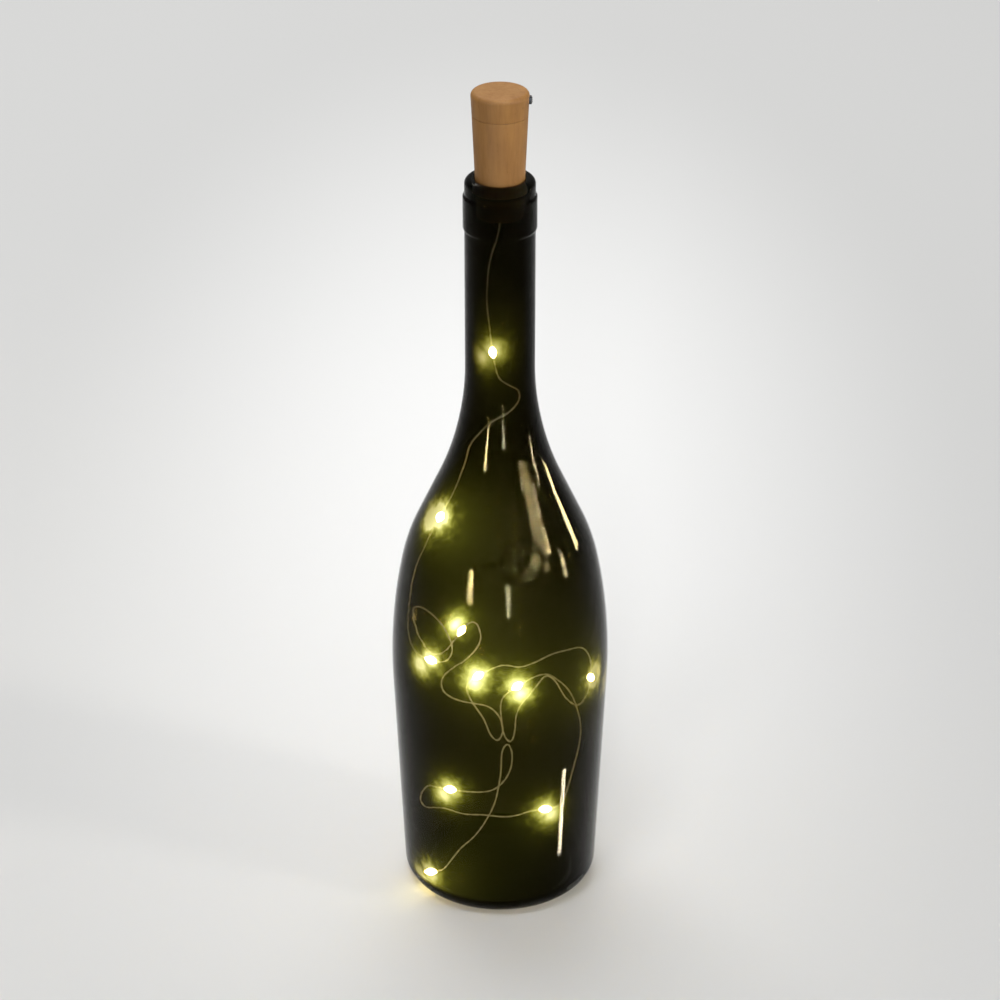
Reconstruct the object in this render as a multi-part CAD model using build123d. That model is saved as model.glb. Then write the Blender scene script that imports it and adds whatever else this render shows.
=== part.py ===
from build123d import *
from math import cos, pi, radians, sin, tan
import os

# A glass bottle with a string of small lights inside it. The string hangs from a
# cork-shaped stopper that holds three button cells, a small board and a slide switch.
# Millimetres. The origin is the centre of the base and +Z is up.

# Bottle outside, from the base up. The corners are those of the outline before its
# round stretches are turned, and each share is how much of the shorter of its two
# sides a corner's arc takes.
bottle_height = 307.5
heel_diameter = 77.5
heel_share = 0.72
belly_diameter = 88.6
belly_height = 118.0
belly_share = 0.70
shoulder_diameter = 74.4
shoulder_height = 154.4
shoulder_share = 0.27
neck_diameter = 27.1
neck_start_height = 205.2
neck_start_share = 0.46
ring_diameter = 28.3
ring_height = 12.8
ring_drop = 7.2
ring_slope = 0.8
ring_share = 0.45
lip_share = 0.60
mouth_edge_share = 0.24

# Bottle inside and underside
wall = 2.7
neck_wall = 3.7
mouth_bore_diameter = 18.5
corkage_depth = 45.0
corkage_taper = 3.0
base_thickness = 4.0
inner_heel_share = 0.60
punt_depth = 16.0
punt_top_diameter = 28.0
punt_rim_diameter = 53.0
punt_top_share = 0.90
punt_rim_share = 0.12

# How far a cut runs out past the piece that it opens
overrun = 5.0

# Raised ornament on the shoulder: a plain ring round a bunch of round dots
ornament_height = 161.0
ornament_turn = 15.0
ornament_tilt = 23.0
ornament_reach = 33.8
ornament_diameter = 18.0
ornament_band = 1.5
ornament_relief = 0.7
ornament_root = 0.6
dot_diameter = 2.6
dot_pitch = 3.1
dot_rows = (4, 3, 2, 1)
side_dot_diameters = (2.6, 2.0, 1.5)
side_dot_pitch = 3.4
side_dot_gap = 2.6

# Stopper: a tapered shell that stands in the mouth, and the cap on top of it
stopper_exposed = 34.3
stopper_inserted = 15.0
stopper_top_diameter = 22.2
seat_clearance = 0.05
shell_bore_diameter = 14.2
shell_floor = 1.8
shell_edge_share = 0.09
seam_gap = 0.1
cap_height = 9.2
cap_top_thickness = 1.6
cap_bore_diameter = 18.0
cap_edge_share = 0.20

# Wire plug in the shell's floor
plug_diameter = 3.2
plug_flange_diameter = 4.6
plug_flange_thickness = 1.0

# Button cells and the tray that holds them
cell_diameter = 11.6
cell_height = 5.4
cell_count = 3
cell_rim_diameter = 10.4
cell_rim_height = 0.6
cell_edge_share = 0.05
cell_step_share = 0.5
cell_clearance = 0.1
tray_clearance = 0.15
tray_head_diameter = 17.8
tray_head_thickness = 1.2
tray_floor = 1.2
tray_mouth_width = 11.8
lead_notch_width = 1.6
lead_notch_depth = 3.2

# Contacts, all of one sheet
sheet = 0.4
positive_plate_diameter = 10.0
negative_plate_diameter = 11.0
leaf_rise = 1.4
leaf_width = 3.0
leaf_length = 6.0
strip_width = 2.0
strip_distance = 6.3
sheet_clearance = 0.1
pin_width = 1.5
pin_distance = 3.0

# Circuit board, resistor and slide switch
board_diameter = 16.8
board_thickness = 1.0
resistor_size = (2.0, 1.25, 0.5)
resistor_place = (-3.0, -3.0)
resistor_end_share = 0.2
case_size = (3.2, 7.0, 3.6)
case_distance = 4.6
case_lift = 1.3
case_wall = 0.5
switch_travel = 2.0
knob_width = 1.6
knob_height = 3.0
knob_proud = 1.0
knob_tip_share = 0.25
knob_clearance = 0.1
carriage_width = 2.8
carriage_height = 2.4
carriage_depth = 1.9
terminal_width = 0.5
terminal_pitch = 2.0
terminal_count = 3

# String of lights
wire_diameter = 0.7
bead_diameter = 3.0
bead_length = 5.0
bead_clearance = 0.05
chip_size = (0.6, 0.8, 1.6)
bend_share = 0.45

# Routes of the wires, chosen by hand. A light sits at the middle of the run between
# one stretch of the string and the next, and at the ends of the lead and the slack.
lead_route = [
    (0, 0, 292.5), (0, 0, 287.5), (-1.5, 1, 281.5), (-4, 1.5, 273), (-5, 0.5, 264),
    (-5, -1.5, 255), (-4, -3, 248), (-3.5, -3.5, 242.5), (-2.75, -3, 236.75),
]
slack_route = [
    (-2.75, -3, 236.75), (-2, -2.5, 231), (-0.5, -5.5, 226.5), (4, -3.5, 222.5),
    (7.5, 2, 218.5), (8, 6.5, 212), (4.5, 7.5, 206.5), (-0.5, 3.5, 205.5), (-4, -4, 207),
    (-7, -8, 205.5), (-11.5, -8, 199.5), (-13, -2, 190), (-17, -4.5, 179),
    (-20.5, -9, 173.5), (-23, -8.25, 168),
]
string_stretches = [
    [(-23, -8.25, 168), (-25.5, -7.5, 162.5), (-28, -4, 156.5), (-29.5, 2, 150),
     (-35, 9, 135), (-36.5, 8, 125), (-37, 2, 119), (-36.5, -7, 116), (-34.5, -14, 113),
     (-32, -20, 112.5)],
    [(-22, -25, 111), (-18, -20, 114), (-20.5, -16.5, 120.5), (-25, -13.5, 126),
     (-31.5, -5, 126.5), (-35.5, 4, 120.5), (-35, 11.5, 109.5), (-33.5, 18.5, 98.5),
     (-29, 25, 87), (-23.5, 29.5, 84.5), (-19.5, 30, 90)],
    [(-12.5, 31.5, 99.5), (-8.5, 26.5, 99.5), (-7.5, 20.5, 95), (-13.5, 9, 93.5),
     (-19, -4, 97.5), (-23.5, -17.5, 100.5), (-22.5, -27.5, 100), (-17, -33, 99.5),
     (-10, -35.5, 99.5), (-4, -36.5, 99), (0, -37, 94.5), (1.5, -37, 88.5),
     (-0.5, -33.5, 80.5), (-4, -29, 81), (-6, -29.5, 88.5), (-9.5, -31, 95),
     (-12.5, -32.5, 101.5), (-13.5, -34, 108)],
    [(-3.5, -34, 114.5), (2, -34, 116.5), (7.5, -34.5, 115), (14, -32.5, 116.5),
     (20, -28.5, 118), (26, -23, 116.5), (32, -17, 115), (35.5, -9.5, 106.5),
     (36.5, -5.5, 98)],
    [(36.5, -0.5, 87), (35, 3, 79), (32, 8, 72), (27, 10, 74.5), (24.5, 5, 82.5),
     (21.5, -3, 92), (18, -12.5, 99), (15, -21, 100), (12, -28, 99.5), (8, -33, 97.5),
     (6, -35.5, 93.5), (6, -36.5, 88), (4.5, -33.5, 80), (1.5, -28.5, 80), (0.5, -29, 88),
     (0, -31.5, 97.5), (2, -34, 103)],
    [(11.5, -34, 110), (18, -32, 111.5), (22, -29, 107), (27, -25, 100), (30, -21.5, 90.5),
     (32, -19.5, 80.5), (31.5, -19, 71), (29.5, -20.5, 62.5), (26.5, -25, 52.5),
     (24, -28, 46.5)],
    [(12, -29.5, 46), (6.5, -32, 45), (0.5, -33.5, 45.5), (-7, -34, 47), (-14.5, -32.5, 46),
     (-21, -28.5, 46.5), (-25.5, -24.5, 44.5), (-30, -18, 40), (-32.5, -14.5, 43),
     (-29, -19, 52), (-25.5, -26, 55)],
    [(-14, -29.5, 55), (-8.5, -34, 57.5), (-3, -35.5, 59), (1.5, -36, 63.5),
     (4.5, -35.5, 69.5), (5, -34.5, 76.5), (3, -30, 78.5), (0.5, -26.5, 72),
     (0.5, -27, 63.5), (-0.5, -26.5, 55.5), (-2, -26, 47), (-5.5, -25, 38.5),
     (-10, -23, 29.5), (-16, -20, 22), (-21, -19, 13.5), (-24, -16.5, 8), (-28, -15.5, 7.5)],
]
inner_lead_route = [
    (0, -6.4, 333.8), (0.2, -6.4, 329.6), (-0.2, -6.35, 324.4), (0.2, -6.4, 318),
    (0, -6.4, 311), (3.6, -4.6, 308.2), (5.7, 0, 307.4), (4.1, 4.0, 306.8),
    (0, 5.7, 306.2), (-4.1, 4.0, 305.6), (-5.7, 0, 305), (-4.1, -4.1, 304.4),
    (0, -5.7, 303.8), (3.6, -3.9, 303), (4.0, -0.5, 301.8), (1.4, 1.2, 300.2),
    (0, 0, 298.2), (0, 0, 295.3),
]

# Worked out from the sizes above
stopper_top = bottle_height + stopper_exposed
stopper_bottom = bottle_height - stopper_inserted
lip_width = (neck_diameter - mouth_bore_diameter) / 2
seat_height = bottle_height - mouth_edge_share * lip_width
cap_bottom = stopper_top - cap_height
shell_top = cap_bottom - seam_gap
shell_floor_top = stopper_bottom + shell_floor
head_top = cap_bottom + tray_head_thickness
board_top = head_top + board_thickness
cells_top = cap_bottom - sheet
cells_bottom = cells_top - cell_count * cell_height
negative_plate_top = cells_bottom - leaf_rise + sheet
negative_plate_bottom = negative_plate_top - sheet
tray_bottom = negative_plate_bottom - tray_floor
cage_outer = shell_bore_diameter / 2 - tray_clearance
cage_inner = cell_diameter / 2 + cell_clearance
case_bottom = board_top + case_lift
knob_middle = case_bottom + case_size[2] / 2
knob_rest = switch_travel / 2
slot_width = switch_travel + knob_width + 2 * knob_clearance
slot_height = knob_height + 2 * knob_clearance


def corner_radii(points, shares):
    """The arc radius at each inner corner, from the share of the shorter side it takes."""
    places = [Vector(*p) for p in points]
    radii = []
    for before, corner, after, share in zip(places, places[1:], places[2:], shares):
        arriving = corner - before
        leaving = after - corner
        half_turn = radians(arriving.get_angle(leaving)) / 2
        shorter = min(arriving.length, leaving.length)
        radii.append(share * shorter / tan(half_turn))
    return radii


def turned(outline, shares=None):
    """A solid turned round the Z axis from an outline of (radius, height) corners."""
    points = [(radius, 0, height) for radius, height in outline]
    corner_shares = shares or [0] * (len(points) - 2)
    line = FilletPolyline(*points, radius=corner_radii(points, corner_shares))
    closing = Line(line @ 1, line @ 0)
    return revolve(make_face(line.edges() + closing.edges()), Axis.Z)


def disc(diameter, bottom, top):
    """A flat disc on the Z axis between two heights."""
    return Pos(0, 0, bottom) * extrude(Circle(diameter / 2), top - bottom)


def block(low, high):
    """A box between two opposite corners."""
    size = [b - a for a, b in zip(low, high)]
    middle = [(a + b) / 2 for a, b in zip(low, high)]
    return Pos(*middle) * Box(*size)


def tube(name, points):
    """A round wire along straight runs joined by arcs, checked against its length."""
    radii = corner_radii(points, [bend_share] * (len(points) - 2))
    path = FilletPolyline(*points, radius=radii)
    section = Plane(origin=path @ 0, z_dir=path % 0) * Circle(wire_diameter / 2)
    wire = sweep(section, path)
    expected = pi * (wire_diameter / 2) ** 2 * path.length
    ratio = wire.volume / expected
    bends = " ".join(f"{radius:.1f}" for radius in radii)
    print(f"{name}: length {path.length:.1f}, volume to section by length {ratio:.4f}")
    print(f"{name}: tightest {min(radii):.2f}, radii {bends}")
    return wire


def stopper_radius(height):
    """Outside radius of the tapered stopper at a height."""
    seat_radius = mouth_bore_diameter / 2 - seat_clearance
    rise = (height - seat_height) / (stopper_top - seat_height)
    return seat_radius + rise * (stopper_top_diameter / 2 - seat_radius)


def bottle_outline(offset=0.0):
    """Outer corners of the bottle from the heel up to the ring, grown by an offset."""
    return [
        (heel_diameter / 2 + offset, 0),
        (belly_diameter / 2 + offset, belly_height),
        (shoulder_diameter / 2 + offset, shoulder_height),
        (neck_diameter / 2 + offset, neck_start_height),
        (neck_diameter / 2 + offset, ring_bottom() - ring_slope),
    ]


def ring_bottom():
    """Height of the underside of the ring below the lip."""
    return bottle_height - ring_drop - ring_height


def make_plain_bottle():
    """The blown bottle: outside, ring and lip, then the bore, the inside and the punt."""
    ring_top = bottle_height - ring_drop
    bore = mouth_bore_diameter / 2
    inner_neck = neck_diameter / 2 - neck_wall
    corkage_bottom = bottle_height - corkage_depth
    inner_heel = heel_diameter / 2 - wall
    inner_punt_top = punt_top_diameter / 2 + base_thickness / 4
    inner_punt_rim = punt_rim_diameter / 2 + base_thickness / 2
    outline = [(0, punt_depth)]
    outline += [(punt_top_diameter / 2, punt_depth), (punt_rim_diameter / 2, 0)]
    outline += bottle_outline()
    outline += [(ring_diameter / 2, ring_bottom()), (ring_diameter / 2, ring_top)]
    outline += [(neck_diameter / 2, ring_top + ring_slope)]
    outline += [(neck_diameter / 2, bottle_height), (bore, bottle_height)]
    outline += [(bore, corkage_bottom), (inner_neck, corkage_bottom - corkage_taper)]
    outline += [(inner_neck, neck_start_height)]
    outline += [(shoulder_diameter / 2 - wall, shoulder_height)]
    outline += [(belly_diameter / 2 - wall, belly_height)]
    outline += [(inner_heel, base_thickness), (inner_punt_rim, base_thickness)]
    outline += [(inner_punt_top, punt_depth + base_thickness)]
    outline += [(0, punt_depth + base_thickness)]
    shares = [punt_top_share, punt_rim_share, heel_share, belly_share, shoulder_share]
    shares += [neck_start_share] + [ring_share] * 4
    shares += [lip_share, mouth_edge_share, ring_share, ring_share]
    shares += [neck_start_share, shoulder_share, belly_share]
    shares += [inner_heel_share, punt_rim_share, punt_top_share]
    return turned(outline, shares)


def make_relief_band():
    """A skin over the shoulder that the ornament is cut from, rooted in the glass."""
    outer = bottle_outline(ornament_relief)
    inner = bottle_outline(-ornament_root)
    shares = [belly_share, shoulder_share, neck_start_share]
    outline = outer + inner[::-1]
    return turned(outline, shares + [0, 0] + shares[::-1])


def ornament_plane():
    """The plane that faces out of the shoulder where the ornament stands."""
    turn = radians(ornament_turn)
    tilt = radians(ornament_tilt)
    across = Vector(cos(turn), sin(turn), 0)
    out = Vector(sin(turn), -cos(turn), 0)
    facing = out * cos(tilt) + Vector(0, 0, sin(tilt))
    middle = out * ornament_reach + Vector(0, 0, ornament_height)
    return Plane(origin=middle, x_dir=across, z_dir=facing)


def ornament_dots():
    """Places and diameters of the dots, across and up from the ornament's middle."""
    row_step = dot_pitch * sin(pi / 3)
    top = row_step * (len(dot_rows) - 1) / 2
    dots = []
    for row, count in enumerate(dot_rows):
        for place in range(count):
            across = (place - (count - 1) / 2) * dot_pitch
            dots.append((across, top - row * row_step, dot_diameter))
    start = ornament_diameter / 2 + side_dot_gap
    for step, diameter in enumerate(side_dot_diameters):
        for side in (-1, 1):
            dots.append((side * (start + step * side_dot_pitch), 0, diameter))
    return dots


def make_bottle():
    """The bottle with its raised ornament."""
    depth = ornament_reach / 2
    ring = Circle(ornament_diameter / 2) - Circle(ornament_diameter / 2 - ornament_band)
    shapes = ring
    for across, up, diameter in ornament_dots():
        shapes += Pos(across, up) * Circle(diameter / 2)
    prism = ornament_plane() * Pos(0, 0, -depth / 2) * extrude(shapes, depth)
    return make_plain_bottle() + (prism & make_relief_band())


def make_stopper_shell():
    """The tapered shell: open at the top, with a hole in its floor for the wire plug."""
    bore = shell_bore_diameter / 2
    hole = plug_diameter / 2
    outline = [
        (hole, stopper_bottom),
        (stopper_radius(stopper_bottom), stopper_bottom),
        (stopper_radius(shell_top), shell_top),
        (bore, shell_top),
        (bore, shell_floor_top),
        (hole, shell_floor_top),
    ]
    return turned(outline, [shell_edge_share, 0, 0, 0])


def make_wire_plug():
    """The soft plug in the shell's floor that grips the wire."""
    flange_top = shell_floor_top + plug_flange_thickness
    stem = disc(plug_diameter, stopper_bottom, shell_floor_top)
    return stem + disc(plug_flange_diameter, shell_floor_top, flange_top)


def make_top_cap():
    """The cap with its rounded top edge, its bore and the slot for the switch knob."""
    top_radius = stopper_radius(stopper_top)
    ceiling = stopper_top - cap_top_thickness
    outline = [
        (0, stopper_top),
        (top_radius, stopper_top),
        (stopper_radius(cap_bottom), cap_bottom),
        (cap_bore_diameter / 2, cap_bottom),
        (cap_bore_diameter / 2, ceiling),
        (0, ceiling),
    ]
    cap = turned(outline, [cap_edge_share, 0, 0, 0])
    slot_low = (0, -slot_width / 2, knob_middle - slot_height / 2)
    slot_high = (top_radius + overrun, slot_width / 2, knob_middle + slot_height / 2)
    return cap - block(slot_low, slot_high)


def make_battery_tray():
    """The trough that carries the cells, its head plate and its cuts for the contacts."""
    cage = disc(2 * cage_outer, tray_bottom, cap_bottom)
    cage -= disc(2 * cage_inner, negative_plate_bottom, cap_bottom)
    mouth_low = (-tray_mouth_width / 2, -cage_outer - overrun, negative_plate_bottom)
    mouth_high = (tray_mouth_width / 2, 0, cap_bottom)
    cage -= block(mouth_low, mouth_high)
    tray = cage + disc(tray_head_diameter, cap_bottom, head_top)
    groove = strip_width / 2 + sheet_clearance
    head_groove = strip_distance + sheet + sheet_clearance
    tray -= block(
        (-groove, strip_distance, negative_plate_bottom),
        (groove, cage_outer + overrun, cap_bottom),
    )
    tray -= block((-groove, strip_distance, cap_bottom), (groove, head_groove, head_top))
    tray -= block(
        (-groove, 0, negative_plate_bottom),
        (groove, strip_distance, negative_plate_top + sheet_clearance),
    )
    pin_low = (pin_distance - sheet_clearance, -pin_width / 2 - sheet_clearance, cap_bottom)
    pin_high = (
        pin_distance + sheet + sheet_clearance,
        pin_width / 2 + sheet_clearance,
        head_top,
    )
    tray -= block(pin_low, pin_high)
    notch_low = (-lead_notch_width / 2, -tray_head_diameter / 2 - overrun, tray_bottom)
    notch_high = (
        lead_notch_width / 2,
        -tray_head_diameter / 2 + lead_notch_depth,
        head_top,
    )
    return tray - block(notch_low, notch_high)


def make_button_cell(index):
    """One button cell, its narrow negative rim facing down."""
    bottom = cells_top - (index + 1) * cell_height
    rim_top = bottom + cell_rim_height
    top = bottom + cell_height
    rim = cell_rim_diameter / 2
    can = cell_diameter / 2
    outline = [(0, bottom), (rim, bottom), (rim, rim_top), (can, rim_top), (can, top), (0, top)]
    return turned(outline, [cell_edge_share, 0, cell_step_share, cell_edge_share])


def make_positive_contact():
    """The plate above the cells, with a pin up to the board."""
    plate = disc(positive_plate_diameter, cells_top, cap_bottom)
    pin_low = (pin_distance, -pin_width / 2, cap_bottom)
    pin_high = (pin_distance + sheet, pin_width / 2, head_top)
    return plate + block(pin_low, pin_high)


def make_negative_contact():
    """The plate under the cells, its folded spring leaf and its tab to the strip."""
    plate = disc(negative_plate_diameter, negative_plate_bottom, negative_plate_top)
    tab_low = (-strip_width / 2, 0, negative_plate_bottom)
    tab_high = (strip_width / 2, strip_distance, negative_plate_top)
    riser_low = (-leaf_length / 2, -leaf_width / 2, negative_plate_top)
    riser_high = (-leaf_length / 2 + sheet, leaf_width / 2, cells_bottom)
    leaf_low = (-leaf_length / 2, -leaf_width / 2, cells_bottom - sheet)
    leaf_high = (leaf_length / 2, leaf_width / 2, cells_bottom)
    leaf = block(riser_low, riser_high) + block(leaf_low, leaf_high)
    return plate + block(tab_low, tab_high) + leaf


def make_contact_strip():
    """The strip that runs up the back of the tray from the lower plate to the board."""
    low = (-strip_width / 2, strip_distance, negative_plate_bottom)
    high = (strip_width / 2, strip_distance + sheet, head_top)
    return block(low, high)


def make_circuit_board():
    """The round board that stands on the tray's head plate inside the cap."""
    return disc(board_diameter, head_top, board_top)


def make_resistor():
    """The resistor on the board: a body between two end caps."""
    length, width, height = resistor_size
    x, y = resistor_place
    end = resistor_end_share * length
    bounds = (x - length / 2, x - length / 2 + end, x + length / 2 - end, x + length / 2)
    pieces = []
    for left, right in zip(bounds, bounds[1:]):
        low = (left, y - width / 2, board_top)
        high = (right, y + width / 2, board_top + height)
        pieces.append(block(low, high))
    return Compound(pieces)


def make_switch_case():
    """The switch's case, hollow, with a window for the knob."""
    depth, width, height = case_size
    left = case_distance
    right = case_distance + depth
    top = case_bottom + height
    case = block((left, -width / 2, case_bottom), (right, width / 2, top))
    case -= block(
        (left + case_wall, -width / 2 + case_wall, case_bottom + case_wall),
        (right - case_wall, width / 2 - case_wall, top - case_wall),
    )
    window_low = (right - case_wall, -slot_width / 2, knob_middle - slot_height / 2)
    window_high = (right + overrun, slot_width / 2, knob_middle + slot_height / 2)
    return case - block(window_low, window_high)


def make_switch_terminals():
    """The short legs that carry the switch case above the board."""
    middle = case_distance + case_size[0] / 2
    legs = []
    for place in range(terminal_count):
        y = (place - (terminal_count - 1) / 2) * terminal_pitch
        low = (middle - terminal_width / 2, y - terminal_width / 2, board_top)
        high = (middle + terminal_width / 2, y + terminal_width / 2, case_bottom)
        legs.append(block(low, high))
    return Compound(legs)


def make_switch_slider():
    """The sliding piece: a carriage inside the case and the knob that stands out."""
    window = case_distance + case_size[0] - case_wall
    right = window - knob_clearance
    shoulder = window + knob_clearance
    carriage = block(
        (right - carriage_depth, knob_rest - carriage_width / 2, knob_middle - carriage_height / 2),
        (right, knob_rest + carriage_width / 2, knob_middle + carriage_height / 2),
    )
    neck = block(
        (right, knob_rest - knob_width / 2, knob_middle - carriage_height / 2),
        (shoulder, knob_rest + knob_width / 2, knob_middle + carriage_height / 2),
    )
    tip = stopper_radius(knob_middle) + knob_proud
    knob = block(
        (shoulder, knob_rest - knob_width / 2, knob_middle - knob_height / 2),
        (tip, knob_rest + knob_width / 2, knob_middle + knob_height / 2),
    )
    tip_edges = knob.faces().sort_by(Axis.X)[-1].edges()
    return carriage + neck + fillet(tip_edges, knob_tip_share * knob_width)


def light_plane(middle, along):
    """The plane of a light: Z along the wire and X away from the bottle's axis."""
    direction = Vector(*along).normalized()
    out = Vector(middle[0], middle[1], 0)
    out -= direction * out.dot(direction)
    return Plane(origin=Vector(*middle), x_dir=out.normalized(), z_dir=direction)


def light_places():
    """Middle and direction of each light, from the stopper to the far end."""
    places = []
    for route in (lead_route, slack_route):
        places.append((Vector(*route[-1]), Vector(*route[-1]) - Vector(*route[-2])))
    for before, after in zip(string_stretches, string_stretches[1:]):
        start = Vector(*before[-1])
        end = Vector(*after[0])
        places.append(((start + end) / 2, end - start))
    last = string_stretches[-1]
    places.append((Vector(*last[-1]), Vector(*last[-1]) - Vector(*last[-2])))
    return [light_plane(tuple(middle), tuple(along)) for middle, along in places]


def make_chip(place):
    """The light itself, a small block on the side of the wire."""
    depth, width, length = chip_size
    low = (wire_diameter / 2, -width / 2, -length / 2)
    high = (wire_diameter / 2 + depth, width / 2, length / 2)
    return place * block(low, high)


def make_bead(place):
    """The drop of clear resin round a light, pointed at both ends, with the wire's bore."""
    bore = wire_diameter / 2 + bead_clearance
    low = Vector(bore, 0, -bead_length / 2)
    high = Vector(bore, 0, bead_length / 2)
    side = ThreePointArc(low, Vector(bead_diameter / 2, 0, 0), high)
    drop = revolve(make_face(side.edges() + Line(high, low).edges()), Axis.Z)
    return place * drop - make_chip(place)


def write(name, shape):
    """Write one sub-part under its name."""
    shape.label = name
    export_step(shape, f"parts/{name}.step")
    print(f"{name}: volume {shape.volume:.2f}")


def main():
    os.makedirs("parts", exist_ok=True)
    write("bottle_glass", make_bottle())
    write("stopper_shell", make_stopper_shell())
    write("wire_plug", make_wire_plug())
    write("top_cap", make_top_cap())
    write("battery_tray", make_battery_tray())
    for index in range(cell_count):
        write(f"button_cell_{index + 1}", make_button_cell(index))
    write("positive_contact", make_positive_contact())
    write("negative_contact", make_negative_contact())
    write("contact_strip", make_contact_strip())
    write("circuit_board", make_circuit_board())
    write("resistor", make_resistor())
    write("switch_case", make_switch_case())
    write("switch_terminals", make_switch_terminals())
    write("switch_slider", make_switch_slider())
    string_route = [point for stretch in string_stretches for point in stretch]
    write("inner_leads", tube("inner_leads", inner_lead_route))
    write("lead_wire", tube("lead_wire", lead_route))
    write("slack_wire", tube("slack_wire", slack_route))
    write("string_wire", tube("string_wire", string_route))
    for index, place in enumerate(light_places()):
        write(f"led_chip_{index + 1}", make_chip(place))
        write(f"led_bead_{index + 1}", make_bead(place))


main()
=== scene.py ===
"""A green glass bottle lit from inside by a string of lights on a cork-shaped stopper."""
import math

import bmesh
import bpy
from bpy.props import FloatProperty, FloatVectorProperty, IntProperty, PointerProperty
from mathutils import Matrix, Vector
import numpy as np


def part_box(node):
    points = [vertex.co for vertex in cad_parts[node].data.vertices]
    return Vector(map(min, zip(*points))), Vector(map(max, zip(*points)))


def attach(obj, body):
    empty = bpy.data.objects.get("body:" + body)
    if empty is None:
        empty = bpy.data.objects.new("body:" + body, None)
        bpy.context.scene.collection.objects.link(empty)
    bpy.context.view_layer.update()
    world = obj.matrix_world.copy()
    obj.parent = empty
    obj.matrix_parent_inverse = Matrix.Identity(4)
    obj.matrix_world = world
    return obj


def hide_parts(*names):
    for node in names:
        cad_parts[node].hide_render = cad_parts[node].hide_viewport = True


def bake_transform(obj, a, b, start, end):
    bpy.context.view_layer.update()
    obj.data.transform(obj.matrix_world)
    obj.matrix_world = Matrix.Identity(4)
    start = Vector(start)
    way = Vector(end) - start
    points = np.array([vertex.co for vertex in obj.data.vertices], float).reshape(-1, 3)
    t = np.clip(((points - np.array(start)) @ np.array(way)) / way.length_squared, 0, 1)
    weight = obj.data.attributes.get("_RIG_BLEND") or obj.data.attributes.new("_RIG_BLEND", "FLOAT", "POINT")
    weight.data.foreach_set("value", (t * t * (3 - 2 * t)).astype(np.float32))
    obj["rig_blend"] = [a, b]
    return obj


bl_info = {
    "name": "Cork Bottle Light",
    "version": (1, 0, 0),
    "blender": (4, 5, 0),
    "location": "View3D > Sidebar > Bottle Light",
    "description": "Builds a glass bottle with a string of lights on its stopper",
    "category": "Object",
}

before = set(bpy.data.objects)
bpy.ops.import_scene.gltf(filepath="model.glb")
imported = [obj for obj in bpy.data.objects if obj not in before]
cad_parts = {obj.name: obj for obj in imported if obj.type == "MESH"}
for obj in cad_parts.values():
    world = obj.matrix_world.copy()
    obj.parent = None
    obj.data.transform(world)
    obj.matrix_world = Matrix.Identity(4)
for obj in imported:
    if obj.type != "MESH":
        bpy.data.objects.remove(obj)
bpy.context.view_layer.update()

# Sizes of the bottle, in metres, as in its solids. Corners are rounded by shares of
# the shorter of their two sides.
BOTTLE_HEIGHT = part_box("bottle_glass")[1].z
HEEL_RADIUS = 0.03875
BELLY_RADIUS = 0.0443
BELLY_HEIGHT = 0.118
SHOULDER_RADIUS = 0.0372
SHOULDER_HEIGHT = 0.1544
NECK_RADIUS = 0.01355
NECK_START_HEIGHT = 0.2052
RING_RADIUS = 0.01415
RING_TOP = BOTTLE_HEIGHT - 0.0072
RING_BOTTOM = RING_TOP - 0.0128
RING_SLOPE = 0.0008
WALL = 0.0027
INNER_NECK_RADIUS = 0.00985
MOUTH_BORE_RADIUS = 0.00925
CORKAGE_HEIGHT = BOTTLE_HEIGHT - 0.045
CORKAGE_TAPER = 0.003
BASE_THICKNESS = 0.004
PUNT_DEPTH = 0.016
PUNT_TOP_RADIUS = 0.014
PUNT_RIM_RADIUS = 0.0265
BOTTLE_CORNERS = [
    (0, PUNT_DEPTH), (PUNT_TOP_RADIUS, PUNT_DEPTH), (PUNT_RIM_RADIUS, 0),
    (HEEL_RADIUS, 0), (BELLY_RADIUS, BELLY_HEIGHT), (SHOULDER_RADIUS, SHOULDER_HEIGHT),
    (NECK_RADIUS, NECK_START_HEIGHT), (NECK_RADIUS, RING_BOTTOM - RING_SLOPE),
    (RING_RADIUS, RING_BOTTOM), (RING_RADIUS, RING_TOP),
    (NECK_RADIUS, RING_TOP + RING_SLOPE), (NECK_RADIUS, BOTTLE_HEIGHT),
    (MOUTH_BORE_RADIUS, BOTTLE_HEIGHT), (MOUTH_BORE_RADIUS, CORKAGE_HEIGHT),
    (INNER_NECK_RADIUS, CORKAGE_HEIGHT - CORKAGE_TAPER),
    (INNER_NECK_RADIUS, NECK_START_HEIGHT),
    (SHOULDER_RADIUS - WALL, SHOULDER_HEIGHT), (BELLY_RADIUS - WALL, BELLY_HEIGHT),
    (HEEL_RADIUS - WALL, BASE_THICKNESS),
    (PUNT_RIM_RADIUS + BASE_THICKNESS / 2, BASE_THICKNESS),
    (PUNT_TOP_RADIUS + BASE_THICKNESS / 4, PUNT_DEPTH + BASE_THICKNESS),
    (0, PUNT_DEPTH + BASE_THICKNESS),
]
BOTTLE_SHARES = [
    0.90, 0.12, 0.72, 0.70, 0.27, 0.46, 0.45, 0.45, 0.45, 0.45, 0.60, 0.24, 0.45, 0.45,
    0.46, 0.27, 0.70, 0.60, 0.12, 0.90,
]

# The raised ornament: where it faces, its ring and its dots
ORNAMENT_TURN = math.radians(15)
ORNAMENT_TILT = math.radians(23)
ORNAMENT_REACH = 0.0338
ORNAMENT_HEIGHT = 0.161
ORNAMENT_RADIUS = 0.009
ORNAMENT_BAND = 0.0015
ORNAMENT_RELIEF = 0.0007
DOT_RADIUS = 0.0013
DOT_PITCH = 0.0031
DOT_ROWS = (4, 3, 2, 1)
SIDE_DOTS = ((0.0116, 0.0013), (0.015, 0.001), (0.0184, 0.00075))

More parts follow.
